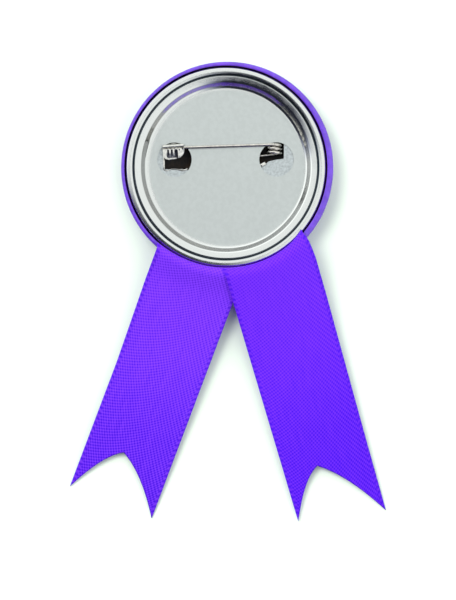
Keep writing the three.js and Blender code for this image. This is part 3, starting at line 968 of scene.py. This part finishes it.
# %% Ribbon shape
CLOTH = 0.2
CUT_BOW = 1.2
WAVE_RISE = 0.22
WAVE_START, WAVE_RUN, WAVE_END_RUN = 38, 20, 14
WAVE_DOWN, WAVE_ACROSS = 9.0, 14.0
TUCK_EDGE = 29.2
TUCK_RUN = 1.5
TUCK = [(27.53, 5.8), (27.53, 6.6), (27.53, 7.6), (27.58, 8.4), (27.8, 9.0)]
ROUND_TO = 33.0
TAILS = {
    "left": {
        "turn": math.radians(-20.7),
        "top": (-9.6, 14.5),
        "sides": ((22, 25, 36, 60), (-0.5, -0.6, -0.6, 0), (22, 60), (0, 0)),
        "tips": ((-9.55, 96.9), (14.55, 97.2)),
        "notch": (0.97, 82.9),
        "fall": [(28.25, 9.45), (28.9, 9.6), (29.8, 9.4), (31, 8.8), (35, 6.95), (42, 5.3), (54, 3.7),
                 (70, 2.6), (84, 1.9), (92, 1.2), (98.6, 0.2)],
    },
    "right": {
        "turn": math.radians(16.1),
        "top": (-8.7, 16.3),
        "sides": ((22, 60), (0, 0), (22.6, 25.6, 30, 40, 84), (-1.2, -0.4, 0.1, 0.2, 0)),
        "tips": ((-8.15, 98.5), (15.8, 102.2)),
        "notch": (1.1, 85.2),
        "fall": [(28.25, 9.65), (28.9, 9.95), (29.8, 9.95), (31.5, 9.5), (36, 8.1), (43, 6.3), (55, 4.3),
                 (72, 2.9), (87, 2.1), (96, 1.3), (103.8, 0.2)],
    },
}


def cut_at(w, tips, notch):
    """How far down the cut lies at each place across: a straight line from tip to notch or from notch
    to tip, raised by 4 t (1 - t) times the bow, measured square to that line."""
    def one(first, last):
        t = np.clip((w - first[0]) / (last[0] - first[0]), 0, 1)
        slant = math.hypot(last[0] - first[0], last[1] - first[1]) / (last[0] - first[0])
        return first[1] + (last[1] - first[1]) * t - CUT_BOW * slant * 4 * t * (1 - t)
    return np.where(w < notch[0], one(tips[0], notch), one(notch, tips[1]))


def ribbon(name, tail):
    """Points (w, s, height) with w across and s down: near the rim s = sqrt(r^2 - w^2) for the section's
    r, and further down s runs evenly to the cut. The height follows the section at r = |(w, s)|, with
    a slow wave in the long fall. Then the whole is turned about the badge's axis, and the tuck moves
    sideways with the tin back."""
    section = smooth_through(TUCK + tail["fall"], 420)
    peak = int(np.argmax(section[:, 1]))
    (left_top, right_top), (left_tip, right_tip) = tail["top"], tail["tips"]
    notch = tail["notch"][0]
    first = np.linspace(0, 1, 34)[:-1] * (notch - left_top) + left_top
    second = np.linspace(0, 1, 40) * (right_top - notch) + notch
    w = np.concatenate([first, second])[None, :]
    at_end = np.interp(w, [left_top, notch, right_top], [left_tip[0], notch, right_tip[0]])
    bend = section[section[:, 0] <= ROUND_TO]
    r = bend[:, :1]
    s_bend = np.sqrt(r**2 - w**2)
    end = cut_at(at_end, tail["tips"], tail["notch"])
    t = np.linspace(0, 1, 150)[1:, None]
    s_fall = s_bend[-1:] + (end - s_bend[-1:]) * t
    w_fall = w + (at_end - w) * t
    height = np.interp(np.hypot(w_fall, s_fall), section[peak:, 0], section[peak:, 1])
    between = ease((s_fall - WAVE_START) / WAVE_RUN) * ease((end - s_fall) / WAVE_END_RUN)
    height += WAVE_RISE * between * np.sin(s_fall / WAVE_DOWN + w_fall / WAVE_ACROSS)
    across = np.concatenate([w + 0 * r, w_fall])
    down = np.concatenate([s_bend, s_fall])
    left_at, left_by, right_at, right_by = tail["sides"]
    leftness = np.clip((notch - w) / (notch - left_top), 0, 1)
    rightness = np.clip((w - notch) / (right_top - notch), 0, 1)
    across += np.interp(down, left_at, left_by) * leftness
    across += np.interp(down, right_at, right_by) * rightness
    up = np.concatenate([bend[:, 1:] + 0 * w, height])
    c, sn = math.cos(tail["turn"]), math.sin(tail["turn"])
    tucked = ease((TUCK_EDGE - np.hypot(across, down)) / TUCK_RUN)
    x = across * c + down * sn + tucked * OFF_CENTRE[0]
    y = across * sn - down * c + tucked * OFF_CENTRE[1]
    points = np.stack([x, y, up], axis=-1)
    along = np.concatenate([0 * w, np.cumsum(np.linalg.norm(np.diff(points, axis=0), axis=2), axis=0)])
    from_left = w - w[0, 0] + 0 * along
    piece = grid_piece(name, points, np.stack([from_left, along], axis=-1))
    wide = w[0, -1] - w[0, 0]
    marks = {"edge": np.minimum(from_left, wide - from_left), "cut": along[-1:] - along}
    for label, value in marks.items():
        layer = piece.data.attributes.new(label, "FLOAT", "POINT")
        layer.data.foreach_set("value", value.ravel().astype(np.float32))
    area = float(np.sum(np.diff(w[0]) * (along[-1, 1:] + along[-1, :-1]) / 2))
    return piece, wide, float(along[-1].max()), area


for side, tail in TAILS.items():
    cloth, wide, length, area = ribbon(f"ribbon_{side}", tail)
    thickened(cloth, CLOTH)
    wear(cloth, satins[side])
    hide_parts(f"ribbon_{side}_root", f"ribbon_{side}_tail")
    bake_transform(cloth)
    print(side, "ribbon cut", round(wide, 1), "x", round(length, 1), "mm, area", round(area), "mm2")
    report(cloth)

# %% [markdown]
# ## Table, light and surroundings
#
# The badge lies on a white table under a large soft lamp at the upper left, with a pale room round it.
# Metal shows what is round it, so the room matters as much as the lamp. The room is bright overhead and
# brightest in its walls on the window's side, at the left, and the walls are dimmer near the horizon.
# One side is dark, towards the foot of the picture on the left, and the bead and the tin back's wall
# mirror it. The lamp stands for light that comes in over a wide angle, so it is kept out of the
# metal's reflections, where it would show as a disc.

# %% Table
HALF = 1.5
GAP = 0.00002
WHITE = [(0.84, 0.93, 0.79, 1), (0.86, 0.95, 0.81, 1)]
table_mesh = bpy.data.meshes.new("table")
corners = [(-HALF, -HALF), (HALF, -HALF), (HALF, HALF), (-HALF, HALF)]
table_mesh.from_pydata([(x, y, -GAP) for x, y in corners], [], [(0, 1, 2, 3)])
table = bpy.data.objects.new("table", table_mesh)
bpy.context.scene.collection.objects.link(table)
white, tree, shader = new_finish("white_table", Roughness=0.6)
place = put(tree, "ShaderNodeTexCoord", {}).outputs["Object"]
white_colour = blend_colour(tree, noise(tree, place, 30.0), *WHITE)
tree.links.new(white_colour, shader.inputs["Base Color"])
wear(table, white)

# %% Light
LAMP_AZIMUTH = math.radians(140)
LAMP_ELEVATION = math.radians(62)
LAMP_DISTANCE = 1.2

lamp_data = bpy.data.lights.new("soft_lamp", "AREA")
lamp_data.shape = "DISK"
lamp_data.size = 0.6
lamp_data.energy = 7.5
lamp = bpy.data.objects.new("soft_lamp", lamp_data)
flat_reach = LAMP_DISTANCE * math.cos(LAMP_ELEVATION)
lamp.location = (
    flat_reach * math.cos(LAMP_AZIMUTH),
    flat_reach * math.sin(LAMP_AZIMUTH) - 0.03,
    LAMP_DISTANCE * math.sin(LAMP_ELEVATION),
)
lamp.rotation_euler = (math.pi / 2 - LAMP_ELEVATION, 0, LAMP_AZIMUTH + math.pi / 2)
lamp.visible_glossy = False
bpy.context.scene.collection.objects.link(lamp)

# %% Surroundings
CEILING = 1.3
WINDOW_WALL = 1.75
DIM_WALLS = 1.25
LOW_SHARE = 0.4
WINDOW_AZIMUTH = math.radians(155)
WINDOW_WAY = (math.cos(WINDOW_AZIMUTH), math.sin(WINDOW_AZIMUTH), 0)
CARD = 0.045
CARD_AZIMUTH = math.radians(237)
CARD_HALF = math.radians(44)
CARD_BLUR = math.radians(12)
CARD_WAY = (math.cos(CARD_AZIMUTH), math.sin(CARD_AZIMUTH), 0)
ROOM_COLOUR = (0.97, 1.0, 1.0, 1)
CARD_COLOUR = (0.6, 0.66, 1.0, 1)
LOW_WALLS_END, HIGH_WALLS_START = 0.08, 0.45
WALLS_END, CEILING_START = 0.6, 0.9
DIM_END, WINDOW_START = -0.3, 0.6


def facing(tree, direction, way):
    """The cosine of the angle between a direction and a level one."""
    feeds = {0: direction, 1: way}
    return put(tree, "ShaderNodeVectorMath", feeds, operation="DOT_PRODUCT").outputs["Value"]


world = bpy.data.worlds.new("pale_room")
bpy.context.scene.world = world
world.use_nodes = True
tree = world.node_tree
background = tree.nodes["Background"]
way = put(tree, "ShaderNodeTexCoord", {}).outputs["Generated"]
up = put(tree, "ShaderNodeSeparateXYZ", {0: way}).outputs["Z"]
in_plan = {0: stretched(tree, way, 1, 1, 0)}
flat = put(tree, "ShaderNodeVectorMath", in_plan, operation="NORMALIZE").outputs[0]
towards_window = facing(tree, flat, WINDOW_WAY)
high_walls = spread(tree, towards_window, DIM_END, WINDOW_START, DIM_WALLS, WINDOW_WALL)
low_walls = calc(tree, "MULTIPLY", high_walls, LOW_SHARE)
walls = blend_value(tree, spread(tree, up, LOW_WALLS_END, HIGH_WALLS_START), low_walls, high_walls)
room = blend_value(tree, spread(tree, up, WALLS_END, CEILING_START), walls, CEILING)
card_edges = math.cos(CARD_HALF + CARD_BLUR), math.cos(CARD_HALF - CARD_BLUR)
card = spread(tree, facing(tree, flat, CARD_WAY), *card_edges)
strength = blend_value(tree, card, room, CARD)
room_colour = blend_colour(tree, card, ROOM_COLOUR, CARD_COLOUR)
tree.links.new(room_colour, background.inputs["Color"])
tree.links.new(strength, background.inputs["Strength"])

bpy.context.scene.view_settings.view_transform = "Standard"
print("lamp", [round(x, 2) for x in lamp.location])
